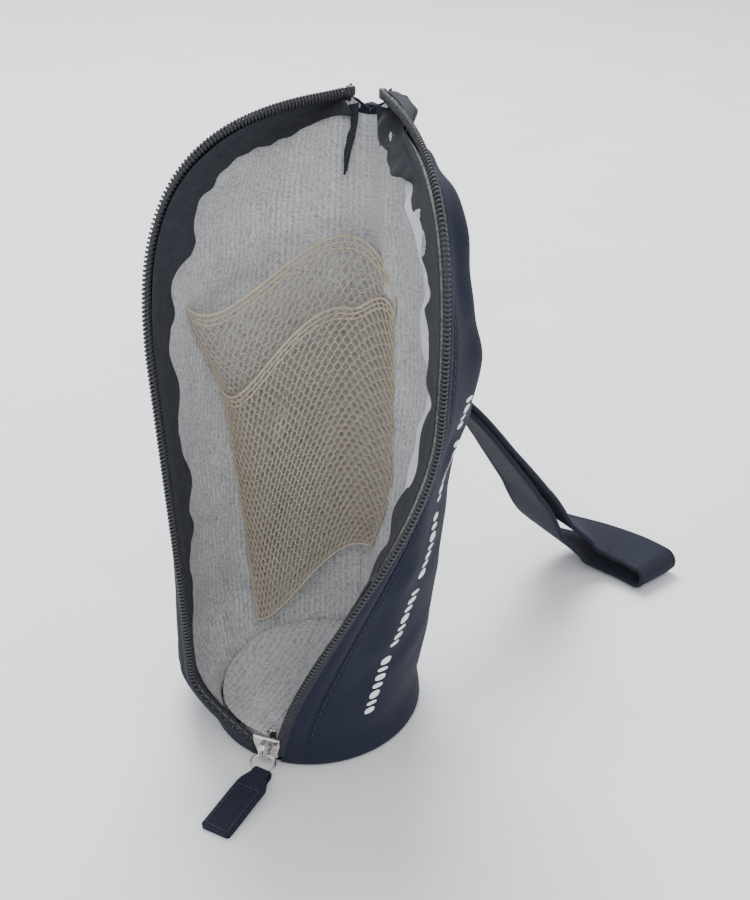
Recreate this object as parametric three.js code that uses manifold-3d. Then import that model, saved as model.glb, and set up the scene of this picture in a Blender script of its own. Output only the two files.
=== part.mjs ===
// A slim zip pouch with a towelling lining, standing upright on an oval base with its zip undone.
// Millimetres, +Z up. The origin is on the floor, at the centre of the oval base. The zip runs up the
// front (-Y), round the top front corner and back to the spine (+Y).
//
// The two side walls are worked out for the CLOSED pouch and then turned open about the vertical
// spine, by an angle that grows with height. So turning a wall back by its full angle closes the zip.
import * as THREE from 'three';
import { mergeVertices } from 'three/addons/utils/BufferGeometryUtils.js';
import Module from 'manifold-3d';

const wasm = await Module();
wasm.setup();

// ---------------------------------------------------------------- driving dimensions
const BASE_DEPTH = 86;
const BASE_WIDTH = 78;
const SPINE_Y = BASE_DEPTH / 2;
const ZIP_FOOT = 5;
const CORNER_R = 99;
const CORNER_Z = 151;
const TOP_R = 25;
const TOP_Z = 228.5;
const END_R = 3;
const END_Z = 228;
const OPEN_ANGLE = { left: 21.8, right: 35 };
const TWIST_HEIGHTS = { left: [0.5, 24], right: [-10, 145] };
const SPLIT = { left: 25, right: 140 };
const SPLIT_GAP = 1;
const PANEL_THICK = 1.2;
const LINING_THICK = 2;
const LAYER_GAP = 0.7;
const BASE_THICK = 2.2;
const TOUCH_GAP = 0.4;
const COIL_HALF_GAP = 0.7;
const COIL_SIZE = 2.4;
const TAPE_WIDTH = 15;
const TAPE_THICK = 0.8;
const TAPE_BACK = 4.6;
const TAPE_ASIDE = 0.8;
const TAPE_LEAN = 0.1;
const TEETH_START = 4.6;
const TAPE_START = 8;
const WALL_STEPS = 12;
const WALL_TOP = 232;
const NARROWEST = 6;
const PANEL_CLEAR = { spine: 4.6, zip: 4.5 };
const LINING_CLEAR = { spine: 8.5, zip: 13 };
const LEAST_SQUARE = 0.25;
const BASE_LINING_THICK = 2.8;
const BASE_LINING_CLEAR = 0.9;
const SEAM_RADIUS = 2.2;
const SEAM_CLEAR = 3.4;
const SEAM_TOP = 210;
const STOP_LENGTH = 2.6;
const BOTTOM_STOP = { height: 0.8, z: 3 };
const ANCHOR_WIDTH = 24;
const ANCHOR_THICK = 4.5;
const ANCHOR_HEIGHT = 14;
const ANCHOR_Z = 152;
const NET_LOW = 52;
const NET_TOP = 150;
const NET_TURNS = [0.2, 0.72];
const NET_DEPTH = 4.7;
const NET_BULGE = 12;
const NET_THICK = 0.8;
const HEM_THICK = 1.4;
const HEM_HEIGHT = 5;
const SLIDER_Z = 8.2;
const WINGS = [[-4, -4.5], [4, -4.5], [5.2, 0.8], [5.2, 4.5], [-5.2, 4.5], [-5.2, 0.8]];
const WING_THICK = 1.3;
const WING_GAP = 0.5;
const POST = { size: [0.7, 4.2, 3.6], at: [0, 1.4, 2.4] };
const BACK_PLATE = [3.6, 0.9, 9];
const CROWN = { half: 3.8, low: -6, high: -2.1, width: 1.8 };
const CROWN_HOLE = { half: 2.6, low: -5.1, high: -2.8 };
const RING_HINGE = [0, -3.95, -1.4];
const RING_RADIUS = 4.4;
const RING_WIRE = 0.6;
const RING_SLOPE = 12;
const RING_YAW = 20;
const TAB_WIDTH = 11.5;
const TAB_LENGTH = 29.5;
const TAB_THICK = 2.2;
const TAB_SLOPE = 6.6;
const TAB_YAW = -7;
const TAB_CORNER = 1;
const TAB_SHOULDER = 5;
const TAB_EYE = { outer: 2.6, bore: 1.8, width: 2 };
const TAB_NECK = { half: 1, start: 2 };
const STRAP_WIDTH = 25;
const STRAP_THICK = 2.4;
const STRAP_HALF_GAP = [1.5, 4.4];
const STRAP_PARTING = [0.35, 0.9];
const STRAP_LAYER_SHARE = 0.46;
const STRAP_STEPS = 48;
const STRAP_POINTS = [
  [0, 55.5, 151], [1.5, 62, 138], [12, 69, 120], [26, 78, 100], [38, 92, 75], [48, 108, 50],
  [56, 124, 26], [67, 137, 12], [80, 141, 7.2], [92, 139, 6.3], [101, 135, 6.2],
];

const COLOURS = {
  navy: [0x1f2438, 0.9, 0],
  webbing: [0x1b2032, 0.85, 0],
  towelling: [0xa3a3a6, 0.95, 0],
  tape: [0x3b3c45, 0.85, 0],
  coil: [0x2c2d33, 0.5, 0],
  net: [0xbcb09f, 0.8, 0],
  nickel: [0xc9c8c4, 0.28, 1],
};

// ---------------------------------------------------------------- helpers
const clamp = (value, low, high) => Math.min(high, Math.max(low, value));
const mix = (a, b, share) => a + (b - a) * share;
const radians = (degrees) => degrees * Math.PI / 180;

function ease(value, [low, high]) {
  const share = clamp((value - low) / (high - low), 0, 1);
  return share * share * (3 - 2 * share);
}

function material(name) {
  const [color, roughness, metalness] = COLOURS[name];
  return new THREE.MeshStandardMaterial({ color, roughness, metalness });
}

function node(name, geometry, finish) {
  const mesh = new THREE.Mesh(geometry, material(finish));
  mesh.name = name;
  return mesh;
}

// A box whose corners are carried to a bent shape: place(u, v, t) gives the point for shares 0 to 1.
function bentBox(stepsU, stepsV, place, mirrored = false) {
  const geometry = new THREE.BoxGeometry(1, 1, 1, stepsU, stepsV, 1);
  const spots = geometry.attributes.position;
  for (let i = 0; i < spots.count; i += 1) {
    const depth = mirrored ? 0.5 - spots.getZ(i) : 0.5 + spots.getZ(i);
    const point = place(spots.getX(i) + 0.5, spots.getY(i) + 0.5, depth);
    spots.setXYZ(i, point.x, point.y, point.z);
  }
  geometry.computeVertexNormals();
  return geometry;
}

function solid(geometry) {
  const bare = geometry.clone();
  bare.deleteAttribute('normal');
  bare.deleteAttribute('uv');
  const merged = mergeVertices(bare, 1e-4);
  const vertProperties = new Float32Array(merged.attributes.position.array);
  const triVerts = new Uint32Array(merged.index.array);
  return new wasm.Manifold(new wasm.Mesh({ numProp: 3, vertProperties, triVerts }));
}

function fromSolid(manifold) {
  const mesh = manifold.getMesh();
  const geometry = new THREE.BufferGeometry();
  geometry.setAttribute('position', new THREE.BufferAttribute(mesh.vertProperties, 3));
  geometry.setIndex(new THREE.BufferAttribute(mesh.triVerts, 1));
  geometry.computeVertexNormals();
  return geometry;
}

function joined(...geometries) {
  return fromSolid(geometries.map(solid).reduce((whole, piece) => whole.add(piece)));
}

// ---------------------------------------------------------------- the zip's line and the spine
// The zip's run, as distance forward of the spine (x) and height (y), in the closed pouch.
const zipRun = new THREE.CurvePath();
const cornerReach = 0.55 * Math.hypot(CORNER_R - TOP_R, TOP_Z - CORNER_Z);
const frontRise = new THREE.Vector2(CORNER_R - BASE_DEPTH, CORNER_Z - ZIP_FOOT).normalize();
const topRun = new THREE.Vector2(END_R - TOP_R, END_Z - TOP_Z).normalize();
const corner = new THREE.Vector2(CORNER_R, CORNER_Z);
const top = new THREE.Vector2(TOP_R, TOP_Z);
const foot = new THREE.Vector2(BASE_DEPTH, ZIP_FOOT);
zipRun.add(new THREE.LineCurve(new THREE.Vector2(BASE_DEPTH, 0), foot));
zipRun.add(new THREE.LineCurve(foot, corner));
zipRun.add(new THREE.CubicBezierCurve(
  corner,
  corner.clone().addScaledVector(frontRise, cornerReach),
  top.clone().addScaledVector(topRun, -cornerReach),
  top,
));
zipRun.add(new THREE.LineCurve(top, new THREE.Vector2(END_R, END_Z)));
const ZIP_LENGTH = zipRun.getLength();
const WALL_END = ZIP_LENGTH - 34;
const ZIP_END = ZIP_LENGTH - 6;
const FAN_START = 110;
const SPINE_TOP = 221;

// The height on the spine that faces the zip at a given length along its run.
function spineHeight(along) {
  if (along <= FAN_START) return along;
  const left = SPINE_TOP - FAN_START;
  const power = (ZIP_LENGTH - FAN_START) / left;
  return FAN_START + left * (1 - (1 - (along - FAN_START) / (ZIP_LENGTH - FAN_START)) ** power);
}

function halfWidth(z) {
  const fullness = Math.max(0, 1 - (z / WALL_TOP) ** 2.2) ** 0.75;
  return mix(NARROWEST, BASE_WIDTH / 2, fullness);
}

// The closed wall's outer face: turn runs from 0 at the spine to 1 at the zip.
function closedWall(turn, along) {
  const zip = zipRun.getPoint(along / ZIP_LENGTH);
  const share = (1 - Math.cos(Math.PI * turn)) / 2;
  const z = mix(spineHeight(along), zip.y, share);
  const pointed = mix(1, 2, ease(z, [0, 90]));
  const backwards = Math.sin(Math.PI * turn / 2) ** pointed;
  const forwards = Math.cos(Math.PI * turn / 2) ** pointed;
  const fullness = 2 ** pointed * halfWidth(z) * backwards * forwards;
  return new THREE.Vector3(fullness, SPINE_Y - zip.x * share, z);
}

function wallNormal(turn, along) {
  const step = 0.004;
  const acrossTurn = closedWall(turn + step, along).sub(closedWall(turn - step, along));
  const reach = step * ZIP_LENGTH;
  const acrossRun = closedWall(turn, along + reach).sub(closedWall(turn, along - reach));
  return acrossTurn.cross(acrossRun).normalize();
}

function underWall(turn, along, depth) {
  const inward = wallNormal(turn, along);
  if (inward.x > 0) inward.negate();
  return closedWall(turn, along).addScaledVector(inward, depth);
}

// Carries a point of the closed right half to its place on the open pouch, on either side.
function opened(point, side) {
  const angle = radians(OPEN_ANGLE[side]) * ease(point.z, TWIST_HEIGHTS[side]);
  const forward = SPINE_Y - point.y;
  const x = forward * Math.sin(angle) + point.x * Math.cos(angle);
  const y = SPINE_Y - forward * Math.cos(angle) + point.x * Math.sin(angle);
  return new THREE.Vector3(side === 'left' ? -x : x, y, point.z);
}

// How squarely the wall's line from the spine meets the zip: 1 is square on.
function squareness(along) {
  const zip = zipRun.getPoint(along / ZIP_LENGTH);
  const run = zipRun.getTangent(along / ZIP_LENGTH);
  const line = zip.sub(new THREE.Vector2(0, spineHeight(along))).normalize();
  return Math.max(LEAST_SQUARE, Math.abs(line.x * run.y - line.y * run.x));
}

// The turn at which the wall is a given distance from the spine (end 0) or from the zip (end 1).
function turnAt(along, distance, end) {
  const from = closedWall(end, along);
  let near = end;
  let far = 0.5;
  for (let i = 0; i < 24; i += 1) {
    const middle = (near + far) / 2;
    if (closedWall(middle, along).distanceTo(from) < distance) near = middle;
    else far = middle;
  }
  return (near + far) / 2;
}

// ---------------------------------------------------------------- wall layers
// Lengths along the zip between which each layer runs, and its number of steps.
const SECTIONS = {
  left: {
    lower: [BASE_THICK + TOUCH_GAP, SPLIT.left - SPLIT_GAP / 2, 7],
    upper: [SPLIT.left + SPLIT_GAP / 2, WALL_END, 13],
  },
  right: {
    lower: [BASE_THICK + TOUCH_GAP, SPLIT.right - SPLIT_GAP / 2, 12],
    upper: [SPLIT.right + SPLIT_GAP / 2, WALL_END, 8],
  },
};

function wallLayer(side, [start, finish, steps], depth, thick, clear) {
  return bentBox(WALL_STEPS, steps, (u, v, t) => {
    const along = mix(start, finish, v);
    const spineEdge = turnAt(along, clear.spine, 0);
    const zipEdge = turnAt(along, clear.zip / squareness(along), 1);
    const turn = mix(spineEdge, zipEdge, u);
    return opened(underWall(turn, along, depth + thick * (1 - t)), side);
  }, side === 'right');
}

// A strip beside the zip, back mm behind its line and aside mm from the pouch's mid plane.
function zipStrip(side, [start, finish, steps], back, width, aside, thick, lean = 0) {
  return bentBox(1, steps, (u, v, t) => {
    const share = mix(start, finish, v) / ZIP_LENGTH;
    const zip = zipRun.getPoint(share);
    const run = zipRun.getTangent(share);
    const distance = back + width * (1 - u);
    const forward = Math.max(SEAM_CLEAR, zip.x - run.y * distance);
    const z = zip.y - Math.abs(run.x) * distance;
    const x = aside + lean * (distance - back) + thick * t;
    return opened(new THREE.Vector3(x, SPINE_Y - forward, z), side);
  }, side === 'right');
}

function wallPieces(side, part) {
  const tail = part === 'lower' ? '_lower' : '';
  const section = SECTIONS[side][part];
  const zipSection = (lowest) => (part === 'lower'
    ? [lowest, section[1], section[2]]
    : [section[0], ZIP_END, section[2] + 5]);
  const panel = wallLayer(side, section, 0, PANEL_THICK, PANEL_CLEAR);
  const lining = wallLayer(side, section, PANEL_THICK + LAYER_GAP, LINING_THICK, LINING_CLEAR);
  const tapeWidth = TAPE_WIDTH - TAPE_BACK;
  const tapeRun = zipSection(TAPE_START);
  const tape = zipStrip(side, tapeRun, TAPE_BACK, tapeWidth, TAPE_ASIDE, TAPE_THICK, TAPE_LEAN);
  const coil = zipStrip(side, zipSection(TEETH_START), 0, COIL_SIZE, COIL_HALF_GAP, COIL_SIZE);
  return [
    node(`${side}_panel${tail}`, panel, 'navy'),
    node(`${side}_lining${tail}`, lining, 'towelling'),
    node(`${side}_tape${tail}`, tape, 'tape'),
    node(`${side}_coil${tail}`, coil, 'coil'),
  ];
}

function topStop(side) {
  const section = [ZIP_END + TOUCH_GAP, ZIP_END + TOUCH_GAP + STOP_LENGTH, 1];
  const stop = zipStrip(side, section, 0, COIL_SIZE, COIL_HALF_GAP, COIL_SIZE);
  return node(`${side}_top_stop`, stop, 'coil');
}

// ---------------------------------------------------------------- base and spine
function ovalPlate(inset, low, high) {
  const oval = new THREE.Shape();
  oval.absellipse(0, 0, BASE_WIDTH / 2 - inset, BASE_DEPTH / 2 - inset, 0, 2 * Math.PI);
  const settings = { depth: high - low, bevelEnabled: false, curveSegments: 40 };
  const plate = new THREE.ExtrudeGeometry(oval, settings);
  return plate.translate(0, 0, low);
}

function boxAt(size, at) {
  return new THREE.BoxGeometry(...size).translate(...at);
}

function basePieces() {
  const low = BASE_THICK + TOUCH_GAP;
  const liningInset = PANEL_THICK + LAYER_GAP + LINING_THICK + BASE_LINING_CLEAR;
  const lining = ovalPlate(liningInset, low, low + BASE_LINING_THICK);
  const stopSize = [2 * (COIL_HALF_GAP + COIL_SIZE), COIL_SIZE, BOTTOM_STOP.height];
  const stopY = SPINE_Y - BASE_DEPTH + COIL_SIZE / 2;
  const seam = new THREE.CylinderGeometry(SEAM_RADIUS, SEAM_RADIUS, SEAM_TOP - low, 12);
  seam.rotateX(Math.PI / 2).translate(0, SPINE_Y, (SEAM_TOP + low) / 2);
  const anchorSize = [ANCHOR_WIDTH, ANCHOR_THICK, ANCHOR_HEIGHT];
  const anchorY = SPINE_Y + SEAM_RADIUS + TOUCH_GAP + ANCHOR_THICK / 2;
  return [
    node('base_panel', ovalPlate(0, 0, BASE_THICK), 'navy'),
    node('base_lining', lining, 'towelling'),
    node('bottom_stop', boxAt(stopSize, [0, stopY, BOTTOM_STOP.z]), 'nickel'),
    node('spine_seam', seam, 'navy'),
    node('strap_anchor', boxAt(anchorSize, [0, anchorY, ANCHOR_Z]), 'webbing'),
  ];
}

// ---------------------------------------------------------------- net pocket inside the left wall
function pocketSheet(name, start, finish, steps, thick) {
  const sheet = bentBox(8, steps, (u, v, t) => {
    const along = mix(start, finish, v);
    const looseness = mix(0.5, 1, (along - NET_LOW) / (NET_TOP - NET_LOW));
    const depth = NET_DEPTH + NET_BULGE * Math.sin(Math.PI * u) * looseness;
    const turn = mix(NET_TURNS[0], NET_TURNS[1], u);
    return opened(underWall(turn, along, depth + thick * (1 - t)), 'left');
  });
  return node(name, sheet, 'net');
}

// ---------------------------------------------------------------- slider, ring and tab
function extrudeAcross(shape, width) {
  const settings = { depth: width, bevelEnabled: false, curveSegments: 10 };
  const geometry = new THREE.ExtrudeGeometry(shape, settings);
  return geometry.rotateY(Math.PI / 2).translate(-width / 2, 0, 0);
}

function outline(points) {
  return new THREE.Shape(points.map(([x, y]) => new THREE.Vector2(x, y)));
}

// A rectangular frame: its outside, and the hole through it.
function frameShape(outside, inside) {
  const shape = outline([
    [-outside.half, outside.low], [outside.half, outside.low],
    [outside.half, outside.high], [-outside.half, outside.high],
  ]);
  const hole = new THREE.Path();
  hole.moveTo(-inside.half, inside.low).lineTo(-inside.half, inside.high);
  hole.lineTo(inside.half, inside.high).lineTo(inside.half, inside.low).closePath();
  shape.holes.push(hole);
  return shape;
}

// Local axes: z along the zip, -y to the front, the zip's line at y = 0.
function sliderBody() {
  const front = new THREE.ExtrudeGeometry(outline(WINGS), { depth: WING_THICK, bevelEnabled: false });
  front.rotateX(Math.PI / 2).translate(0, -WING_GAP, 0);
  const post = boxAt(POST.size, POST.at);
  const back = boxAt(BACK_PLATE, [0, COIL_SIZE + WING_GAP + BACK_PLATE[1] / 2, 0]);
  return node('slider_body', joined(front, post, back), 'nickel');
}

function sliderCrown() {
  return node('slider_crown', extrudeAcross(frameShape(CROWN, CROWN_HOLE), CROWN.width), 'nickel');
}

function pullRing() {
  const ring = new THREE.TorusGeometry(RING_RADIUS, RING_WIRE, 6, 20).translate(0, -RING_RADIUS, 0);
  return node('pull_ring', ring, 'nickel');
}

function pullTab() {
  const eye = new THREE.Shape();
  eye.absarc(0, 0, TAB_EYE.outer, 0, 2 * Math.PI);
  const bore = new THREE.Path();
  bore.absarc(0, 0, TAB_EYE.bore, 0, 2 * Math.PI, true);
  eye.holes.push(bore);
  const half = TAB_WIDTH / 2;
  const rightEdge = [
    [half - TAB_CORNER, -TAB_LENGTH], [half, TAB_CORNER - TAB_LENGTH],
    [half, -TAB_SHOULDER], [TAB_NECK.half, -TAB_NECK.start],
  ];
  const leftEdge = rightEdge.map(([x, y]) => [-x, y]).reverse();
  const slab = new THREE.ExtrudeGeometry(outline([...leftEdge, ...rightEdge]), {
    depth: TAB_THICK,
    bevelEnabled: false,
  });
  slab.translate(0, 0, -TAB_THICK / 2);
  return node('pull_tab', joined(extrudeAcross(eye, TAB_EYE.width), slab), 'webbing');
}

// Hangs a piece at a point, sloping down to the front and turned about the upright.
function hung(piece, point, slope, yaw) {
  const group = new THREE.Group();
  group.position.copy(point);
  group.rotation.set(radians(slope), 0, radians(yaw), 'ZYX');
  group.add(piece);
  return group;
}

// The pull: ring in the crown, tab in the ring. It slopes down until its end lies on the floor.
function pullParts() {
  const lean = Math.atan2(CORNER_R - BASE_DEPTH, CORNER_Z - ZIP_FOOT);
  const sideways = new THREE.Vector3(1, 0, 0);
  const slider = new THREE.Group();
  slider.position.set(0, SPINE_Y - BASE_DEPTH - (SLIDER_Z - ZIP_FOOT) * Math.tan(lean), SLIDER_Z);
  slider.rotation.x = lean;
  slider.add(sliderBody(), sliderCrown());
  const hinge = new THREE.Vector3(...RING_HINGE).applyAxisAngle(sideways, lean).add(slider.position);
  const ring = hung(pullRing(), hinge, RING_SLOPE, RING_YAW);
  const ringEnd = new THREE.Vector3(0, -2 * RING_RADIUS, 0).applyEuler(ring.rotation).add(hinge);
  const tab = hung(pullTab(), ringEnd, TAB_SLOPE, TAB_YAW);
  return [slider, ring, tab];
}

// ---------------------------------------------------------------- wrist strap
// A band doubled into a flat loop: out along its upper layer, round the fold and back.
const strapRun = new THREE.CatmullRomCurve3(STRAP_POINTS.map((point) => new THREE.Vector3(...point)));

function strapPoint(share, height) {
  const middle = strapRun.getPoint(share);
  const run = strapRun.getTangent(share);
  const across = new THREE.Vector3(run.y, -run.x, 0).normalize();
  const above = new THREE.Vector3().crossVectors(across, run).normalize();
  return { middle: middle.addScaledVector(above, height), run, across };
}

function wristStrap() {
  const foldShare = 1 - 2 * STRAP_LAYER_SHARE;
  const band = bentBox(STRAP_STEPS, 1, (u, v, t) => {
    const layer = Math.min(1, Math.min(u, 1 - u) / STRAP_LAYER_SHARE);
    const half = mix(STRAP_HALF_GAP[0], STRAP_HALF_GAP[1], ease(layer, STRAP_PARTING));
    const bend = clamp((u - STRAP_LAYER_SHARE) / foldShare, 0, 1) * Math.PI;
    const radius = half + STRAP_THICK * (t - 0.5);
    const { middle, run, across } = strapPoint(layer, radius * Math.cos(bend));
    middle.addScaledVector(run, radius * Math.sin(bend));
    return middle.addScaledVector(across, STRAP_WIDTH * (0.5 - v));
  });
  return node('wrist_strap', band, 'webbing');
}

// ---------------------------------------------------------------- the whole pouch
const pouch = new THREE.Group();
pouch.name = 'zip_pouch';
pouch.add(...basePieces());
for (const side of ['left', 'right']) {
  for (const part of ['lower', 'upper']) pouch.add(...wallPieces(side, part));
  pouch.add(topStop(side));
}
pouch.add(pocketSheet('net_pocket', NET_LOW, NET_TOP, 6, NET_THICK));
pouch.add(pocketSheet('net_hem', NET_TOP + TOUCH_GAP, NET_TOP + HEM_HEIGHT, 1, HEM_THICK));
pouch.add(...pullParts());
pouch.add(wristStrap());

export default pouch;
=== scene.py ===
"""A slim zip pouch with a towelling lining, standing open on its base: the visual model.

The camera comes first, then the pouch's surface formulas, the materials and the pieces. The walls are
worked out for the closed pouch and turned open about the upright spine, by an angle that grows with
height.
"""

import math

import bmesh
import bpy
import numpy as np
from mathutils import Matrix, Vector


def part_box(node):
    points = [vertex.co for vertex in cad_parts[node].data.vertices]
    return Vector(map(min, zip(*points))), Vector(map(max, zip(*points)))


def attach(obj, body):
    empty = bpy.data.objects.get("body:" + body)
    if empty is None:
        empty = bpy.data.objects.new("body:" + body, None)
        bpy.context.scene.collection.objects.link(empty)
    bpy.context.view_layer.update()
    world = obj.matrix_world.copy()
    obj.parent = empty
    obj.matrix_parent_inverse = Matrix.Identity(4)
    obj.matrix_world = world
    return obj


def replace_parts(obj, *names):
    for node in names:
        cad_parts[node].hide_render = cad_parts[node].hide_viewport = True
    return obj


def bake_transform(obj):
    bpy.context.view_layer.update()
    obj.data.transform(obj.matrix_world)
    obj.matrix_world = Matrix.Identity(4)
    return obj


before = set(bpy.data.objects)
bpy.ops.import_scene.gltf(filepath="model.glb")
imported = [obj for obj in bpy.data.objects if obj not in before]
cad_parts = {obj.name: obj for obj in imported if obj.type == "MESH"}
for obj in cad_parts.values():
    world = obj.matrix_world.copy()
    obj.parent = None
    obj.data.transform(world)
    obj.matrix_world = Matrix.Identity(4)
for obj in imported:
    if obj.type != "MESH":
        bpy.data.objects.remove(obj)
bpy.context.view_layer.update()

# ---------------------------------------------------------------- the camera
CAMERA_LENS = 56.84
CAMERA_TARGET = Vector((0.01678, 0.01334, 0.10347))
CAMERA_DISTANCE = 0.5108
CAMERA_AZIMUTH = math.radians(21.377)
CAMERA_ELEVATION = math.radians(28.294)
CAMERA_ROLL = math.radians(1.534)
CAMERA_SHIFT = (-1.1 / 900, 4.84 / 900)


def add_camera():
    """The view that the picture is made from."""
    a, e, roll = CAMERA_AZIMUTH, CAMERA_ELEVATION, CAMERA_ROLL
    back = Vector((math.sin(a) * math.cos(e), -math.cos(a) * math.cos(e), math.sin(e)))
    right = Vector((math.cos(a), math.sin(a), 0))
    up = back.cross(right)
    tilted_right = right * math.cos(roll) + up * math.sin(roll)
    tilted_up = up * math.cos(roll) - right * math.sin(roll)
    data = bpy.data.cameras.new("camera")
    data.lens = CAMERA_LENS
    data.sensor_width = 36
    data.shift_x, data.shift_y = CAMERA_SHIFT
    data.clip_start = 0.01
    camera = bpy.data.objects.new("camera", data)
    place = Matrix((tilted_right, tilted_up, back)).transposed().to_4x4()
    place.translation = CAMERA_TARGET + back * CAMERA_DISTANCE
    camera.matrix_world = place
    bpy.context.scene.collection.objects.link(camera)
    bpy.context.scene.camera = camera


add_camera()

# ---------------------------------------------------------------- the pouch's measures, in mm
BASE_DEPTH = 86.0
BASE_WIDTH = 78.0
SPINE_Y = 43.0
FOOT_Z = 5.0
CORNER = np.array([99.0, 151.0])
TOP = np.array([25.0, 228.5])
END = np.array([3.0, 228.0])
WALL_TOP = 232.0
NARROWEST = 6.0
FAN_START = 110.0
SPINE_TOP = 221.0
OPEN_ANGLE = {"left": 21.8, "right": 35.0}
TWIST_HEIGHTS = {"left": (0.5, 24.0), "right": (-10.0, 145.0)}
SIDES = ("left", "right")


def mix(a, b, share):
    """A value between a and b."""
    return a + (b - a) * share


def ease(value, low, high):
    """A smooth step from 0 at low to 1 at high."""
    share = np.clip((value - low) / (high - low), 0.0, 1.0)
    return share * share * (3 - 2 * share)


def zip_table():
    """Points along the closed zip: distance forward of the spine, and height."""
    foot = np.array([BASE_DEPTH, FOOT_Z])
    reach = 0.55 * np.linalg.norm(TOP - CORNER)
    rise = (CORNER - foot) / np.linalg.norm(CORNER - foot)
    run = (END - TOP) / np.linalg.norm(END - TOP)
    handles = CORNER, CORNER + rise * reach, TOP - run * reach, TOP
    t = np.linspace(0, 1, 400)[:, None]
    bend = sum(
        math.comb(3, i) * (1 - t) ** (3 - i) * t**i * handles[i] for i in range(4)
    )
    rows = np.vstack([[BASE_DEPTH, 0.0], foot, bend, END])
    steps = np.linalg.norm(np.diff(rows, axis=0), axis=1)
    return rows, np.concatenate([[0.0], np.cumsum(steps)])


ZIP_ROWS, ZIP_ALONG = zip_table()
ZIP_LENGTH = float(ZIP_ALONG[-1])


def zip_point(along):
    return (
        np.interp(along, ZIP_ALONG, ZIP_ROWS[:, 0]),
        np.interp(along, ZIP_ALONG, ZIP_ROWS[:, 1]),
    )


def zip_tangent(along):
    low = np.clip(along - 2.0, 0.0, ZIP_LENGTH)
    high = np.clip(along + 2.0, 0.0, ZIP_LENGTH)
    r0, z0 = zip_point(low)
    r1, z1 = zip_point(high)
    size = np.hypot(r1 - r0, z1 - z0)
    return (r1 - r0) / size, (z1 - z0) / size


def spine_height(along):
    left = SPINE_TOP - FAN_START
    power = (ZIP_LENGTH - FAN_START) / left
    share = np.clip((along - FAN_START) / (ZIP_LENGTH - FAN_START), 0.0, 1.0)
    return np.where(along <= FAN_START, along, FAN_START + left * (1 - (1 - share) ** power))


def half_width(z):
    fullness = np.maximum(0.0, 1 - (np.maximum(z, 0.0) / WALL_TOP) ** 2.2) ** 0.75
    return mix(NARROWEST, BASE_WIDTH / 2, fullness)


def closed_wall(turn, along):
    """The closed pouch's outer face on the right: turn 0 at the spine, 1 at the zip."""
    zip_r, zip_z = zip_point(along)
    share = (1 - np.cos(np.pi * turn)) / 2
    z = mix(spine_height(along), zip_z, share)
    pointed = mix(1.0, 2.0, ease(z, 0.0, 90.0))
    lobes = np.clip(np.sin(np.pi * turn / 2) * np.cos(np.pi * turn / 2), 0.0, 1.0)
    x = 2**pointed * half_width(z) * lobes**pointed
    return np.stack(np.broadcast_arrays(x, SPINE_Y - zip_r * share, z), axis=-1)


def wall_normal(turn, along):
    """The inward normal of the closed right wall."""
    step = 0.004
    turn = np.clip(turn, step, 1 - step)
    along = np.clip(along, 1.2, ZIP_LENGTH - 1.2)
    across = closed_wall(turn + step, along) - closed_wall(turn - step, along)
    up = closed_wall(turn, along + 1.2) - closed_wall(turn, along - 1.2)
    normal = np.cross(across, up)
    normal /= np.linalg.norm(normal, axis=-1, keepdims=True)
    return np.where(normal[..., :1] > 0, -normal, normal)


def under_wall(turn, along, depth):
    return closed_wall(turn, along) + wall_normal(turn, along) * np.asarray(depth)[..., None]


def opened(points, side):
    """Carries points of the closed right half to their place on the open pouch."""
    twist = TWIST_HEIGHTS[side]
    angle = np.radians(OPEN_ANGLE[side]) * ease(points[..., 2], *twist)
    forward = SPINE_Y - points[..., 1]
    x = forward * np.sin(angle) + points[..., 0] * np.cos(angle)
    y = SPINE_Y - forward * np.cos(angle) + points[..., 0] * np.sin(angle)
    return np.stack([-x if side == "left" else x, y, points[..., 2]], axis=-1)


def wall_grid(alongs, from_spine, from_zip, count):
    """Turns evenly spaced between the wall's two edges, with their distances from the spine and the zip."""
    fine = np.linspace(0, 1, 300)
    turns, spine_run, zip_run = (np.empty((count, len(alongs))) for _ in range(3))
    from_zip = np.broadcast_to(from_zip, len(alongs))
    for j, along in enumerate(alongs):
        line = closed_wall(fine, along)
        steps = np.linalg.norm(np.diff(line, axis=0), axis=1)
        run = np.concatenate([[0.0], np.cumsum(steps)])
        start = min(from_spine, 0.3 * run[-1])
        finish = run[-1] - min(from_zip[j] / squareness(along), 0.6 * run[-1])
        wanted = np.linspace(start, max(finish, start + 0.2), count)
        turns[:, j] = np.interp(wanted, run, fine)
        spine_run[:, j] = wanted
        zip_run[:, j] = (run[-1] - wanted) * squareness(along)
    return turns, spine_run, zip_run


def squareness(along):
    """How squarely the wall's line from the spine meets the zip: 1 is square on."""
    zip_r, zip_z = zip_point(along)
    run_r, run_z = zip_tangent(along)
    rise = zip_z - spine_height(along)
    return max(0.3, abs(zip_r * run_z - rise * run_r) / math.hypot(zip_r, rise))


def waves(a, b, size, seed, count=7):
    """Smooth seeded bumps between about -1 and 1 over two coordinates, of the given size."""
    chance = np.random.default_rng(seed)
    total = np.zeros(np.broadcast(a, b).shape)
    for _ in range(count):
        turn, phase = chance.uniform(0, 2 * math.pi, 2)
        length = size * chance.uniform(0.7, 1.5)
        total += np.sin(2 * math.pi * (a * math.cos(turn) + b * math.sin(turn)) / length + phase)
    return total / math.sqrt(count) / 1.2


def ridge(distance, width):
    """A smooth rise of height 1 where the distance is 0."""
    return np.exp(-((distance / width) ** 2))


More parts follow.
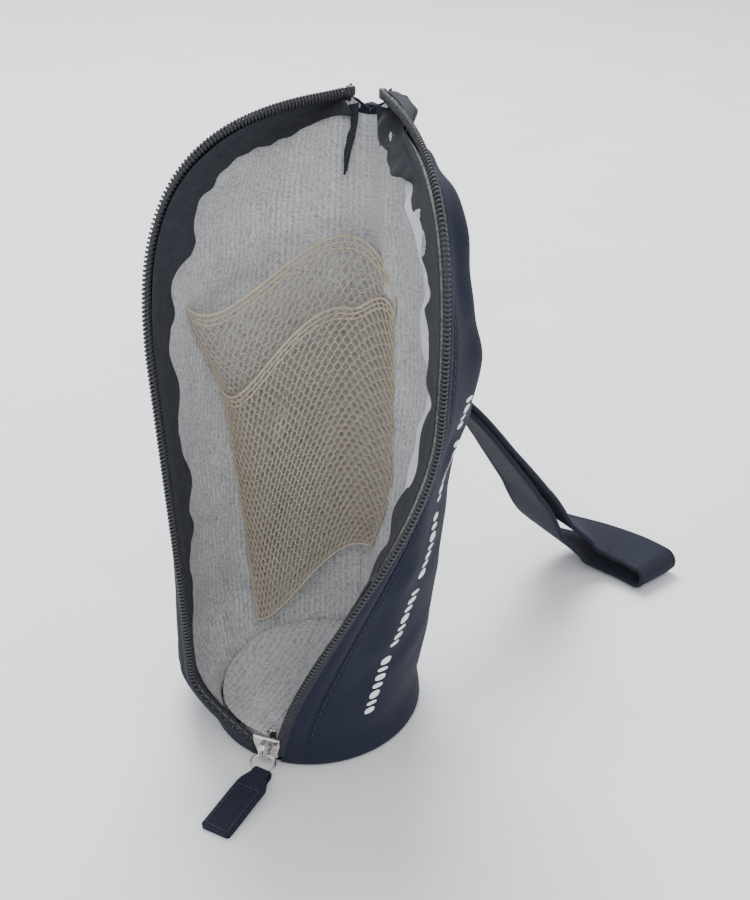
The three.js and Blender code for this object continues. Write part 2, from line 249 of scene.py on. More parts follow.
# ---------------------------------------------------------------- meshes
def grid_faces(rows, columns, wrap_rows=False, wrap_columns=False):
    i = np.arange(rows if wrap_rows else rows - 1)[:, None]
    j = np.arange(columns if wrap_columns else columns - 1)[None, :]
    after_i, after_j = (i + 1) % rows, (j + 1) % columns
    corners = i * columns + j, after_i * columns + j, after_i * columns + after_j, i * columns + after_j
    return np.stack([np.broadcast_to(c, (i.size, j.size)) for c in corners], -1).reshape(-1, 4)


def placed(name, mesh, material=None):
    """An object in the scene from a finished mesh, shaded smooth."""
    if material is not None:
        mesh.materials.append(material)
    mesh.shade_smooth()
    piece = bpy.data.objects.new(name, mesh)
    bpy.context.scene.collection.objects.link(piece)
    return piece


def lay_flat(mesh, flat):
    """Stores each point's place on the flat cloth, given in mm."""
    places = np.zeros((len(flat), 3), np.float32)
    places[:, :2] = np.asarray(flat)[:, :2] / 1000
    layer = mesh.attributes.new("weave", "FLOAT_VECTOR", "POINT")
    layer.data.foreach_set("vector", places.ravel())


def add_piece(name, points, faces, material, weave=None):
    """A mesh object from points in mm; weave gives each point's place on the flat cloth, in mm."""
    points = np.asarray(points, float).reshape(-1, 3)
    faces = np.asarray(faces)
    corners = [points[faces[:, k]] for k in range(3)]
    volume = np.einsum("ij,ij->", corners[0], np.cross(corners[1], corners[2]))
    if volume < 0:
        faces = faces[:, ::-1]
    mesh = bpy.data.meshes.new(name)
    mesh.from_pydata((points / 1000).tolist(), [], faces.tolist())
    if weave is not None:
        lay_flat(mesh, np.asarray(weave).reshape(-1, 2))
    return placed(name, mesh, material)


def add_shell(name, front, back, material, weave):
    """A thin closed sheet between two grids of points."""
    rows, columns = front.shape[:2]
    face = grid_faces(rows, columns)
    half = rows * columns
    index = np.arange(half).reshape(rows, columns)
    rim = np.concatenate([index[:-1, 0], index[-1, :-1], index[:0:-1, -1], index[0, :0:-1]])
    after = np.roll(rim, -1)
    sides = np.stack([after, rim, rim + half, after + half], -1)
    faces = np.vstack([face, face[:, ::-1] + half, sides])
    points = np.vstack([front.reshape(-1, 3), back.reshape(-1, 3)])
    weave = np.asarray(weave).reshape(-1, 2)
    return add_piece(name, points, faces, material, np.vstack([weave, weave]))


def frames_along(path, closed=False):
    """Unit directions along and across a path, carried along it without twisting."""
    if closed:
        run = np.roll(path, -1, 0) - np.roll(path, 1, 0)
    else:
        run = np.gradient(path, axis=0)
    run /= np.linalg.norm(run, axis=1, keepdims=True)
    side = np.empty_like(run)
    start = np.eye(3)[np.argmin(np.abs(run[0]))]
    side[0] = np.cross(run[0], start)
    for i in range(1, len(run)):
        side[i] = side[i - 1] - run[i] * (side[i - 1] @ run[i])
        side[i] /= np.linalg.norm(side[i])
    side[0] /= np.linalg.norm(side[0])
    return run, side, np.cross(run, side)


def tube(path, radius, sides=6, closed=False):
    """Points and faces of a round tube, closed at both ends or joined into a loop."""
    path = np.asarray(path, float)
    _, side, above = frames_along(path, closed)
    angle = np.linspace(0, 2 * math.pi, sides, endpoint=False)
    ring = side[:, None] * np.cos(angle)[None, :, None] + above[:, None] * np.sin(angle)[None, :, None]
    points = path[:, None] + ring * np.broadcast_to(radius, len(path))[:, None, None]
    faces = grid_faces(len(path), sides, wrap_rows=closed, wrap_columns=True)
    if closed:
        return points.reshape(-1, 3), faces
    last = len(path) * sides
    caps = []
    for ring_start, hub in ((0, last), (last - sides, last + 1)):
        rim = ring_start + np.arange(sides)
        turned = np.roll(rim, -1)
        pair = (rim, turned) if ring_start == 0 else (turned, rim)
        caps.append(np.stack([pair[1], pair[0], np.full(sides, hub), np.full(sides, hub)], -1))
    points = np.vstack([points.reshape(-1, 3), path[:1], path[-1:]])
    return points, np.vstack([faces, *caps])


def add_tubes(name, tubes, material):
    """Several tubes as one piece. A cap's triangles are stored as quads with a doubled corner."""
    points, faces, start = [], [], 0
    for spots, quads in tubes:
        points.append(spots)
        faces.extend([list(dict.fromkeys(q)) for q in (quads + start).tolist()])
        start += len(spots)
    points = np.vstack(points)
    mesh = bpy.data.meshes.new(name)
    mesh.from_pydata((points / 1000).tolist(), [], faces)
    return placed(name, mesh, material)


# ---------------------------------------------------------------- materials
class Look:
    """A procedural material, with short calls for the nodes it is made of."""

    def __init__(self, name, **sockets):
        self.material = bpy.data.materials.new(name)
        self.material.use_nodes = True
        self.tree = self.material.node_tree
        self.tree.nodes.clear()
        self.shader = self.tree.nodes.new("ShaderNodeBsdfPrincipled")
        output = self.tree.nodes.new("ShaderNodeOutputMaterial")
        self.tree.links.new(self.shader.outputs[0], output.inputs[0])
        for socket, value in sockets.items():
            self.shader.inputs[socket.replace("_", " ")].default_value = value

    def put(self, value, socket):
        if isinstance(value, bpy.types.NodeSocket):
            self.tree.links.new(value, socket)
        elif value is not None:
            socket.default_value = value

    def math(self, operation, a, b=None, c=None):
        node = self.tree.nodes.new("ShaderNodeMath")
        node.operation = operation
        for value, socket in zip((a, b, c), node.inputs):
            self.put(value, socket)
        return node.outputs[0]

    def cloth(self):
        """The place on the flat cloth: across and along, in mm."""
        source = self.tree.nodes.new("ShaderNodeAttribute")
        source.attribute_name = "weave"
        scaled = self.tree.nodes.new("ShaderNodeVectorMath")
        scaled.operation = "SCALE"
        self.put(source.outputs["Vector"], scaled.inputs[0])
        scaled.inputs["Scale"].default_value = 1000
        parts = self.tree.nodes.new("ShaderNodeSeparateXYZ")
        self.put(scaled.outputs[0], parts.inputs[0])
        return parts.outputs[0], parts.outputs[1], scaled.outputs[0]

    def place(self):
        """The point in the object's own space, in mm."""
        source = self.tree.nodes.new("ShaderNodeTexCoord")
        scaled = self.tree.nodes.new("ShaderNodeVectorMath")
        scaled.operation = "SCALE"
        self.put(source.outputs["Object"], scaled.inputs[0])
        scaled.inputs["Scale"].default_value = 1000
        return scaled.outputs[0]

    def noise(self, vector, size, detail=3.0, roughness=0.55):
        node = self.tree.nodes.new("ShaderNodeTexNoise")
        self.put(vector, node.inputs["Vector"])
        node.inputs["Scale"].default_value = 1 / size
        node.inputs["Detail"].default_value = detail
        node.inputs["Roughness"].default_value = roughness
        return node.outputs[0]

    def cells(self, vector, size, randomness=0.8):
        node = self.tree.nodes.new("ShaderNodeTexVoronoi")
        self.put(vector, node.inputs["Vector"])
        node.inputs["Scale"].default_value = 1 / size
        node.inputs["Randomness"].default_value = randomness
        return node.outputs["Distance"]

    def stripes(self, value, pitch):
        """A wave from 0 to 1 along a value in mm."""
        wave = self.math("SINE", self.math("MULTIPLY", value, 2 * math.pi / pitch))
        return self.math("MULTIPLY_ADD", wave, 0.5, 0.5)

    def colours(self, factor, *stops):
        """A colour from a share: stops are (place, colour)."""
        node = self.tree.nodes.new("ShaderNodeValToRGB")
        self.put(factor, node.inputs[0])
        ramp = node.color_ramp
        while len(ramp.elements) < len(stops):
            ramp.elements.new(0.5)
        for element, (spot, colour) in zip(ramp.elements, stops):
            element.position = spot
            element.color = (*colour, 1)
        return node.outputs[0]

    def bump(self, height, depth):
        """Relief of a depth in mm, from a height of 0 to 1."""
        node = self.tree.nodes.new("ShaderNodeBump")
        node.inputs["Distance"].default_value = depth / 1000
        node.inputs["Strength"].default_value = 1.0
        self.put(height, node.inputs["Height"])
        return node.outputs[0]

    def finish(self, colour, normal=None, roughness=None):
        self.put(colour, self.shader.inputs["Base Color"])
        if normal is not None:
            self.put(normal, self.shader.inputs["Normal"])
        if roughness is not None:
            self.put(roughness, self.shader.inputs["Roughness"])
        return self.material


def ribbed_cloth(name, dark, light, rib, thread, depth, sheen):
    """Plain cloth with ribs across its length and finer threads along it."""
    look = Look(name, Roughness=0.85, Sheen_Weight=sheen, Sheen_Roughness=0.5, Specular_IOR_Level=0.22)
    across, along, flat = look.cloth()
    stray = look.math("MULTIPLY", look.noise(flat, 6.0), rib * 0.9)
    ribs = look.stripes(look.math("ADD", along, stray), rib)
    threads = look.stripes(across, thread)
    height = look.math("MULTIPLY_ADD", threads, 0.3, look.math("MULTIPLY", ribs, 0.7))
    patches = look.noise(flat, 25.0)
    fuzz = look.noise(flat, 0.5, 2.0)
    worn = look.math("MULTIPLY_ADD", patches, 0.35, look.math("MULTIPLY", fuzz, 0.35))
    shade = look.math("MULTIPLY_ADD", height, 0.4, worn)
    colour = look.colours(shade, (0.15, dark), (0.95, light))
    return look.finish(colour, look.bump(height, depth), look.math("MULTIPLY_ADD", fuzz, 0.25, 0.68))


def herringbone(name, dark, light):
    """Zip tape: chevrons of fine diagonal ribs."""
    look = Look(name, Roughness=0.8, Sheen_Weight=0.04, Specular_IOR_Level=0.22)
    across, along, flat = look.cloth()
    folded = look.math("PINGPONG", across, 3.2)
    slope = look.math("ADD", along, look.math("MULTIPLY", folded, 1.1))
    ribs = look.stripes(slope, 0.95)
    threads = look.stripes(look.math("SUBTRACT", along, look.math("MULTIPLY", folded, 1.1)), 0.6)
    height = look.math("MULTIPLY_ADD", threads, 0.25, look.math("MULTIPLY", ribs, 0.75))
    shade = look.math("MULTIPLY_ADD", height, 0.55, look.math("MULTIPLY", look.noise(flat, 4.0), 0.45))
    colour = look.colours(shade, (0.15, dark), (0.9, light))
    return look.finish(colour, look.bump(height, 0.16))


def towelling(name, dark, middle, light):
    """Looped pile in ribs, with painted shade darkening the gaps between the loops."""
    look = Look(name, Roughness=0.95, Sheen_Weight=0.35, Sheen_Roughness=0.6)
    across, _, flat = look.cloth()
    loops = look.math("SUBTRACT", 1.0, look.cells(flat, 1.15))
    ribs = look.stripes(look.math("ADD", across, look.noise(flat, 8.0)), 2.3)
    fuzz = look.noise(flat, 0.35, 2.0, 0.7)
    patches = look.noise(flat, 22.0)
    ground = look.math("MULTIPLY_ADD", fuzz, 0.25, look.math("MULTIPLY", ribs, 0.15))
    height = look.math("MULTIPLY_ADD", loops, 0.6, ground)
    shade = look.math("MULTIPLY_ADD", height, 0.8, look.math("MULTIPLY", patches, 0.2))
    # The colour follows the pile's height, so the low gaps between the loops take the dark stop as painted
    # shade.
    colour = look.colours(shade, (0.2, dark), (0.5, middle), (0.82, light))
    return look.finish(colour, look.bump(height, 0.7))


def plain(name, colour, other, roughness, size, depth, **sockets):
    """A smooth material whose colour and surface vary a little."""
    look = Look(name, Roughness=roughness, **sockets)
    spot = look.place()
    grain = look.noise(spot, size)
    mottled = look.colours(grain, (0.3, colour), (0.75, other))
    gloss = look.math("MULTIPLY_ADD", look.noise(spot, size * 4), 0.2, roughness - 0.1)
    return look.finish(mottled, look.bump(grain, depth), gloss)


NAVY = ribbed_cloth("navy_twill", (0.0035, 0.0048, 0.012), (0.017, 0.021, 0.044), 0.95, 0.5, 0.14, 0.03)
WEBBING = ribbed_cloth("navy_webbing", (0.0035, 0.0045, 0.011), (0.016, 0.019, 0.038), 0.8, 0.9, 0.2, 0.03)
SELVAGE = ribbed_cloth("pale_selvage", (0.42, 0.43, 0.46), (0.66, 0.67, 0.71), 0.5, 0.5, 0.06, 0.2)
TAPE = herringbone("charcoal_tape", (0.009, 0.010, 0.015), (0.044, 0.046, 0.060))
TOWEL = towelling("grey_towelling", (0.24, 0.24, 0.25), (0.52, 0.52, 0.53), (0.74, 0.74, 0.75))
COIL = plain("charcoal_coil", (0.022, 0.023, 0.028), (0.04, 0.041, 0.048), 0.42, 0.8, 0.03)
NET = plain("beige_net", (0.40, 0.335, 0.25), (0.56, 0.49, 0.385), 0.75, 0.6, 0.05, Sheen_Weight=0.15)
NICKEL = plain("nickel", (0.62, 0.60, 0.57), (0.80, 0.78, 0.75), 0.22, 3.0, 0.01, Metallic=1.0)
PRINT = plain("white_print", (0.72, 0.73, 0.76), (0.86, 0.87, 0.9), 0.55, 1.2, 0.03)
THREAD = plain("navy_thread", (0.018, 0.021, 0.036), (0.04, 0.045, 0.07), 0.6, 0.5, 0.03)

# ---------------------------------------------------------------- the walls
SHELL_ROWS = 110
SHELL_END = ZIP_LENGTH - 9
SEAM_FROM_ZIP = 12.0
COIL_PITCH = 1.5
COIL_START = 5.5
COIL_WIRE = 0.42
COIL_CORE = 0.75
TAPE_WIDTH = 14.6
TAPE_THICK = 0.45
LINING_DEPTH = 3.6
LINING_SPAN = (3.4, ZIP_LENGTH - 14)
STITCH_STEP = 3.4
STITCH_RISE = np.sin(np.linspace(0, math.pi, 5))


def on_wall(piece):
    """Bakes a piece's placement into its mesh."""
    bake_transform(piece)
    return piece


def shell_relief(side, spine_run, zip_run, along):
    """How far the outer cloth stands out of the plain wall, in mm."""
    seam = 0.9 * ridge(zip_run - 7.6, 2.8) - 1.1 * ridge(zip_run - SEAM_FROM_ZIP, 1.3)
    soft = 1.1 * waves(spine_run, along, 60, 3 if side == "left" else 5)
    small = 0.35 * waves(spine_run, along, 19, 11)
    if side == "right":
        folds = 3.4 * ridge(zip_run - 19 - 0.16 * (236 - along), 6.5) * ease(along, 128, 165)
        folds = folds * (1 - ease(along, 236, 262))
        folds -= 2.0 * ridge(zip_run - 30 - 0.22 * (236 - along), 5.0) * ease(along, 140, 175)
        lower_half = ease(along, 25, 60) * (1 - ease(along, 90, 130))
        folds += 1.5 * ridge(zip_run - 26 + 0.30 * (along - 60), 7) * lower_half
        folds += 1.3 * ridge(along - 128 - 0.5 * (zip_run - 30), 7) * ease(zip_run, 14, 26)
    else:
        folds = 1.8 * ridge(zip_run - 24 - 0.2 * (230 - along), 7) * ease(along, 130, 170)
        folds += 1.4 * ridge(along - 96 + 0.4 * zip_run, 8) * ease(zip_run, 14, 30)
        folds -= 1.2 * ridge(along - 60 + 0.3 * zip_run, 7) * ease(zip_run, 14, 30)
    flank = ease(spine_run, 0, 14) * ease(along, 3, 22)
    return seam * ease(along, 2, 12) + (soft + small + folds) * flank * ease(zip_run, 10, 22)


def sag(side, turn, along):
    """How far the slack cloth of a wall hangs inwards, in mm."""
    if side == "left":
        return 1.5 * ridge(turn - 0.45, 0.25) * ease(along, 4, 40)
    depth = 3.4 + 6.4 * ridge(along - 112, 40) + 2.6 * ridge(along - 256, 18)
    return depth * ridge(turn - 0.56, 0.25) * ease(along, 0, 14) * (1 - ease(along, 258, 274))


def wall_place(side, turn, along, depth):
    """Points of the open pouch at a depth under the slack cloth of a wall."""
    return opened(under_wall(turn, along, depth + sag(side, turn, along)), side)


def turns_beside_zip(alongs, reach, edge, count):
    """The turn, and the distance from the spine, of points at the distances reach from the zip."""
    turns, spine_run, zip_run = wall_grid(alongs, 0.0, edge, count)
    turn, run = np.empty_like(reach), np.empty_like(reach)
    for j in range(len(alongs)):
        turn[:, j] = np.interp(-reach[:, j], -zip_run[:, j], turns[:, j])
        run[:, j] = np.interp(-reach[:, j], -zip_run[:, j], spine_run[:, j])
    return turn, run


def zip_band(name, side, material, alongs, reach, front_depth, back_depth):
    """A band along the zip: reach gives each point's distance from it, over the wall's surface."""
    turn, run = turns_beside_zip(alongs, reach, 1.0, 420)
    along = np.broadcast_to(alongs, reach.shape)
    room = 1.08 * closed_wall(turn, along)[..., 0]
    front = wall_place(side, turn, along, np.minimum(front_depth(run, reach, along), room))
    back = wall_place(side, turn, along, np.minimum(back_depth(run, reach, along), room - 0.35))
    band = add_shell(name, front, back, material, np.stack([reach, along], -1))
    return on_wall(band)


def wall_sheet(name, side, material, alongs, from_spine, from_zip, relief, rows=SHELL_ROWS):
    turns, spine_run, zip_run = wall_grid(alongs, from_spine, from_zip, rows)
    along = np.broadcast_to(alongs, turns.shape)
    outer, inner = relief(spine_run, zip_run, along)
    inner = np.minimum(inner, np.maximum(outer + 0.6, 0.95 * closed_wall(turns, along)[..., 0]))
    front = wall_place(side, turns, along, outer)
    back = wall_place(side, turns, along, inner)
    flat = np.stack([spine_run, along], -1)
    return add_shell(name, front, back, material, flat)


def outer_shell(side):
    """The outer cloth of one wall, with its edge tucked under at the foot."""
    alongs = np.concatenate([[0.0, 0.5, 1.1, 1.8, 2.6], np.linspace(3.6, SHELL_END, 190)])

    def relief(spine_run, zip_run, along):
        tuck = 2.4 * (1 - np.sqrt(np.clip(1 - ((2.6 - along) / 2.6).clip(0, 1) ** 2, 0, 1)))
        out = tuck - shell_relief(side, spine_run, zip_run, along)
        return out, out + mix(0.25, 0.95, ease(spine_run, 0, 8))

    shell = wall_sheet("shell_" + side, side, NAVY, alongs, 0.0, 3.9, relief)
    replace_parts(shell, side + "_panel", side + "_panel_lower")
    return on_wall(shell)


def rim_lip(side):
    """The edge of the zip tape that shows outside the teeth, as a rounded narrow band."""
    alongs = np.linspace(4.5, ZIP_LENGTH - 8, 260)
    reach = np.broadcast_to(np.linspace(4.9, 1.9, 9)[:, None], (9, len(alongs)))

    def front(run, reach, along):
        share = ((reach - 1.9) / 3.0).clip(0, 1)
        return -0.25 - 0.55 * np.sqrt(np.clip(1 - (2 * share - 1) ** 2, 0.02, 1))

    def back(run, reach, along):
        return np.full_like(reach, 0.35)

    return zip_band("lip_" + side, side, TAPE, alongs, reach, front, back)


def pile(spine_run, along, seed):
    """The height of the towelling's ribs and loops, from about 0 to 1."""
    chance = np.random.default_rng(seed)
    rough = chance.uniform(0, 1, spine_run.shape)
    strayed = spine_run + 0.5 * waves(spine_run, along, 12, seed + 1)
    ribs = 0.5 + 0.5 * np.sin(2 * math.pi * strayed / 2.6)
    return 0.55 * rough + 0.45 * ribs


def lining_face(side, spine_run, zip_run, along):
    """The depth of the lining's inner face under its pile, in mm."""
    fold = 0.9 * waves(spine_run, along, 38, 21 if side == "left" else 23)
    fold += 0.4 * waves(spine_run, along, 14, 27)
    fold += 1.6 * ridge(along - 34 - 0.5 * spine_run, 5) * ease(spine_run, 8, 30) * ease(zip_run, 12, 24)
    rise = ease(spine_run, 0, 13)
    inner = mix(1.9, LINING_DEPTH, ease(zip_run, 4, 11))
    if side == "right":
        inner = inner + 2.4 * ease(zip_run, 4, 15) * ease(along, 30, 80)
    face = mix(0.45, inner, rise) + fold * rise * ease(zip_run, 2, 12)
    return np.maximum(face, rise * (2.6 - shell_relief(side, spine_run, zip_run, along)))


def lining(side):
    """The towelling of one wall, its pile in relief."""
    alongs = np.linspace(*LINING_SPAN, 330)

    def relief(spine_run, zip_run, along):
        rise = ease(spine_run, 0, 13)
        loops = 0.55 * pile(spine_run, along, 31) * rise * ease(zip_run, 2, 12)
        under_shell = np.maximum(1.1, 1.35 - shell_relief(side, spine_run, zip_run, along))
        return mix(0.3, under_shell, rise), lining_face(side, spine_run, zip_run, along) + loops

    cloth = wall_sheet("lining_" + side, side, TOWEL, alongs, 0.0, 4.2, relief, rows=170)
    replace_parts(cloth, side + "_lining", side + "_lining_lower")
    return on_wall(cloth)


# ---------------------------------------------------------------- along the zip
def beside_zip(along, back, aside):
    """Closed points at a distance back from the zip's line and aside from the mid plane."""
    zip_r, zip_z = zip_point(along)
    run_r, run_z = zip_tangent(along)
    forward = np.maximum(1.2, zip_r - run_z * back)
    height = zip_z + run_r * back
    return np.stack(np.broadcast_arrays(np.maximum(aside, 0.3), SPINE_Y - forward, height), -1)


def tape(side):
    """The zip tape inside one wall, sewn at the zip and wavy at its free edge."""
    alongs = np.linspace(8, ZIP_LENGTH - 8, 300)
    share = np.linspace(0, 1, 18)[:, None]
    period = 22.0 if side == "right" else 27.0
    deep = 2.1 if side == "right" else 1.2
    wave = 2 * math.pi * (alongs + 5 * waves(alongs, 0 * alongs, 90, 41)) / period
    width = (TAPE_WIDTH + deep * np.sin(wave) * ease(alongs, 20, 60)) * (1 - 0.45 * ease(alongs, 264, 286))
    reach = 2.4 + share * (width - 2.4)
    if side == "left":
        lift = (0.9 + 0.9 * np.sin(wave + 1.1)) * share**3 + 4.0 * ridge(alongs - 196, 12) * share**2
    else:
        lift = (2.6 * ease(alongs, 40, 90) + 1.2 * np.sin(wave + 1.1)) * share**1.6

    def front(run, reach, along):
        over = lining_face(side, run, reach, along) + 0.95
        return mix(1.6, over, ease(reach, 2.4, 4.4)) + TAPE_THICK + lift

    def back(run, reach, along):
        return front(run, reach, along) - TAPE_THICK

    cloth = zip_band("tape_" + side, side, TAPE, alongs, reach, front, back)
    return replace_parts(cloth, side + "_tape", side + "_tape_lower")


def selvage():
    """The pale edge of the lining that shows behind the right tape."""
    alongs = np.linspace(60, 248, 200)
    wave = 2 * math.pi * alongs / 41.0
    width = 12.0 + 1.4 * np.sin(wave) + 1.0 * waves(alongs, 0 * alongs, 23, 43)
    reach = 8.0 + np.linspace(0, 1, 12)[:, None] * width
    out = ((reach - 8.0) / width).clip(0, 1)
    ends = ease(alongs, 70, 110) * (1 - ease(alongs, 222, 246))
    lift = 0.4 + (6.0 + 1.6 * np.sin(wave + 0.5)) * out**1.4 * ends

    def front(run, reach, along):
        return lining_face("right", run, reach, along) + 0.5 + lift

    def back(run, reach, along):
        return front(run, reach, along) - 0.4

    zip_band("selvage_right", "right", SELVAGE, alongs, reach, front, back)


def coil(side):
    """One side's teeth: a spiral of nylon round a cord."""
    turns_count = int((ZIP_LENGTH - 12) / COIL_PITCH)
    t = np.linspace(0, turns_count, turns_count * 12)
    along = COIL_START + COIL_PITCH * t
    angle = 2 * math.pi * t
    back, aside = 1.55 + 1.35 * np.cos(angle), 1.75 + 0.85 * np.sin(angle)
    points = beside_zip(along + 0.25 * np.sin(angle), back, aside)
    core_along = np.linspace(5, ZIP_LENGTH - 7, 240)
    core = beside_zip(core_along, np.full_like(core_along, 1.75), np.full_like(core_along, 1.75))
    parts = [tube(opened(points, side), COIL_WIRE, 6), tube(opened(core, side), COIL_CORE, 8)]
    teeth = add_tubes("coil_" + side, parts, COIL)
    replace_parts(teeth, side + "_coil", side + "_coil_lower")
    return on_wall(teeth)


def seam_stitches(side):
    """The row of stitches beside the zip on the outer cloth."""
    stitches = []
    for start in np.arange(14.0, SHELL_END - 12, STITCH_STEP):
        along = np.linspace(start, start + 2.5, 5)
        reach = np.full((1, 5), SEAM_FROM_ZIP + 1.1)
        turn, run = (rows[0] for rows in turns_beside_zip(along, reach, 2.0, 160))
        lift = shell_relief(side, run, reach[0], along) + 0.28 * STITCH_RISE - 0.05
        stitches.append(tube(wall_place(side, turn, along, -lift), 0.2, 5))
    row = add_tubes("stitches_" + side, stitches, THREAD)
    return on_wall(row)


def top_stop(side):
    """The clamp that ends one side's teeth."""
    along = ZIP_LENGTH - 5.2
    box = []
    for da, backs in ((-1.3, 0.1), (-0.9, -0.25), (0.9, -0.25), (1.3, 0.1)):
        for aside in (0.8, 1.1, 2.9, 3.2):
            pinch = 0.25 if aside in (0.8, 3.2) else 0.0
            box.append([(along + da, backs + pinch, aside), (along + da, 3.0 - backs - pinch, aside)])
    spots = np.array([p for pair in box for p in pair])
    points = opened(beside_zip(spots[:, 0], spots[:, 1], spots[:, 2]), side)
    stop = hull("top_stop_" + side, points, COIL)
    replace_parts(stop, side + "_top_stop")
    return on_wall(stop)


def hull(name, points, material, bevel=0.15):
    """A small rounded solid round some points."""
    shape = bmesh.new()
    for point in points:
        shape.verts.new(Vector(point) / 1000)
    bmesh.ops.convex_hull(shape, input=shape.verts)
    loose = [v for v in shape.verts if not v.link_faces]
    bmesh.ops.delete(shape, geom=loose, context="VERTS")
    bmesh.ops.dissolve_limit(shape, angle_limit=0.05, verts=shape.verts, edges=shape.edges)
    edges = shape.edges[:]
    bmesh.ops.bevel(shape, geom=edges, offset=bevel / 1000, segments=2, profile=0.5, affect="EDGES")
    mesh = bpy.data.meshes.new(name)
    shape.to_mesh(mesh)
    shape.free()
    return placed(name, mesh, material)


def tape_tail(side):
    """The loose pointed end of the tape at the top, folded down inside near the spine."""
    down = np.linspace(0, 1, 26)[None, :]
    across = np.linspace(0, 1, 9)[:, None]
    width = mix(4.4, 0.6, ease(down, 0.5, 1.0))
    x = 0.5 + 0.8 * down + across * width
    y = SPINE_Y - 6.0 - 3.5 * down - 1.2 * np.sin(across * 3.0) + 0.8 * np.sin(down * 5.0)
    z = 222.5 - (23.0 if side == "left" else 17.0) * down - 1.5 * across
    front = np.stack(np.broadcast_arrays(x, y, z), -1)
    back = front + np.array([0.0, 0.5, 0.0])
    flat = np.stack(np.broadcast_arrays(across * width, down * 26), -1)
    tail = add_shell("tape_tail_" + side, opened(front, side), opened(back, side), TAPE, flat)
    return on_wall(tail)


# ---------------------------------------------------------------- plain dashes in place of print
DASH_LENGTHS = (2.4, 1.5, 3.2, 1.9)
DASHES_IN_GROUP = 7
DASH_SPAN = (20.0, 148.0)
DASH_ROWS, DASH_COLUMNS = 9, 8


def dash_spans():
    """Where each dash starts and ends along the zip, in groups with wider gaps between them."""
    spans, start = [], DASH_SPAN[0]
    while start < DASH_SPAN[1]:
        length = DASH_LENGTHS[len(spans) % len(DASH_LENGTHS)]
        spans.append((start, start + length))
        last_in_group = len(spans) % DASHES_IN_GROUP == 0
        start += length + (5.0 if last_in_group else 1.3)
    return spans


def print_dashes():
    """Plain dashes along the right panel, a little proud of the cloth."""
    grid = np.arange(DASH_ROWS * DASH_COLUMNS).reshape(DASH_ROWS, DASH_COLUMNS)
    rim = np.concatenate([grid[:-1, 0], grid[-1, :-1], grid[:0:-1, -1], grid[0, :0:-1]])
    after = np.roll(rim, -1)
    sides = np.stack([after, rim, rim + grid.size, after + grid.size], -1)
    face = grid_faces(DASH_ROWS, DASH_COLUMNS)
    dash = np.vstack([face, face[:, ::-1] + grid.size, sides])
    points, faces = [], []
    for number, (low, high) in enumerate(dash_spans()):
        alongs = np.linspace(low, high, DASH_COLUMNS)
        middle = mix(34.0, 27.0, ease(alongs, 20, 150))
        ends = np.abs(np.linspace(-1, 1, DASH_COLUMNS)) ** 4
        wide = 2.2 * np.sqrt(np.clip(1 - ends, 0.15, 1))
        across = np.linspace(-1, 1, DASH_ROWS)[:, None] * wide + middle
        turn, run = turns_beside_zip(alongs, across, 2.0, 160)
        along = np.broadcast_to(alongs, across.shape)
        lift = shell_relief("right", run, across, along)
        points.append(wall_place("right", turn, along, -lift - 0.22).reshape(-1, 3))
        points.append(wall_place("right", turn, along, -lift + 0.2).reshape(-1, 3))
        faces.append(dash + 2 * grid.size * number)
    piece = add_piece("print_dashes", np.vstack(points), np.vstack(faces), PRINT)
    return on_wall(piece)


# ---------------------------------------------------------------- base, spine and anchor
BLOCK_CUTS = 14
BLOCK_ROUNDING = 0.85


def disc_grid(inset, rings, sectors):
    """Rings of points over the base's oval, with each ring's share of the way out."""
    share = np.linspace(0, 1, rings)[:, None]
    angle = np.linspace(0, 2 * math.pi, sectors, endpoint=False)[None, :]
    x = (BASE_WIDTH / 2 - inset) * share * np.cos(angle)
    y = (BASE_DEPTH / 2 - inset) * share * np.sin(angle)
    return share, x, y


def disc(name, x, y, low, high, material, stands_for):
    """A closed disc on the base, from the heights of its two faces."""
    rings, sectors = x.shape
    face = grid_faces(rings, sectors, wrap_columns=True)
    last = np.arange((rings - 1) * sectors, x.size)
    after = np.roll(last, -1)
    sides = np.stack([last, after, after + x.size, last + x.size], -1)
    faces = [np.stack(np.broadcast_arrays(x, y, z), -1).reshape(-1, 3) for z in (low, high)]
    points = np.vstack(faces)
    quads = np.vstack([face[:, ::-1], face + x.size, sides[:, ::-1]])
    cloth = add_piece(name, points, quads, material, points[:, :2])
    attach(cloth, "bag_base")
    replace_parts(cloth, stands_for)
    return cloth


def base_cloth():
    """The outer cloth under the bag, with a rounded edge."""
    share, x, y = disc_grid(0.7, 40, 120)
    round_edge = ease(share, 0.93, 1.0)
    low = 0.15 + 1.3 * round_edge**2
    high = 1.9 - 0.2 * round_edge
    return disc("base_cloth", x, y, low, high, NAVY, "base_panel")


def base_lining():
    """The towelling floor: puffed, creased across and raised at its edge."""
    share, x, y = disc_grid(3.6, 60, 200)
    chance = np.random.default_rng(51)
    ribs = 0.5 + 0.5 * np.sin(2 * math.pi * (x + 0.12 * y) / 2.6)
    puff = 1.1 * waves(x, y, 34, 53) - 1.3 * ridge(x + 7 + 0.25 * y, 1.3) * ease(share, 0, 0.3)
    top = 5.3 + puff + 0.5 * (0.5 * chance.uniform(0, 1, x.shape) + 0.5 * ribs)
    top = top + 2.6 * ease(share, 0.72, 1.0)
    return disc("base_towelling", x, y, 2.7, top, TOWEL, "base_lining")


def stitched_lines(lines, step, place, rise, thread):
    """Rows of stitches along flat lines; place turns flat points and a lift into points in mm."""
    stitches = []
    for (x0, y0), (x1, y1) in lines:
        count = max(2, round(math.hypot(x1 - x0, y1 - y0) / step))
        for k in range(count):
            share = (k + np.linspace(0.1, 0.85, 5)) / count
            points = place(mix(x0, x1, share), mix(y0, y1, share), rise * STITCH_RISE)
            stitches.append(tube(points, thread, 5))
    return stitches


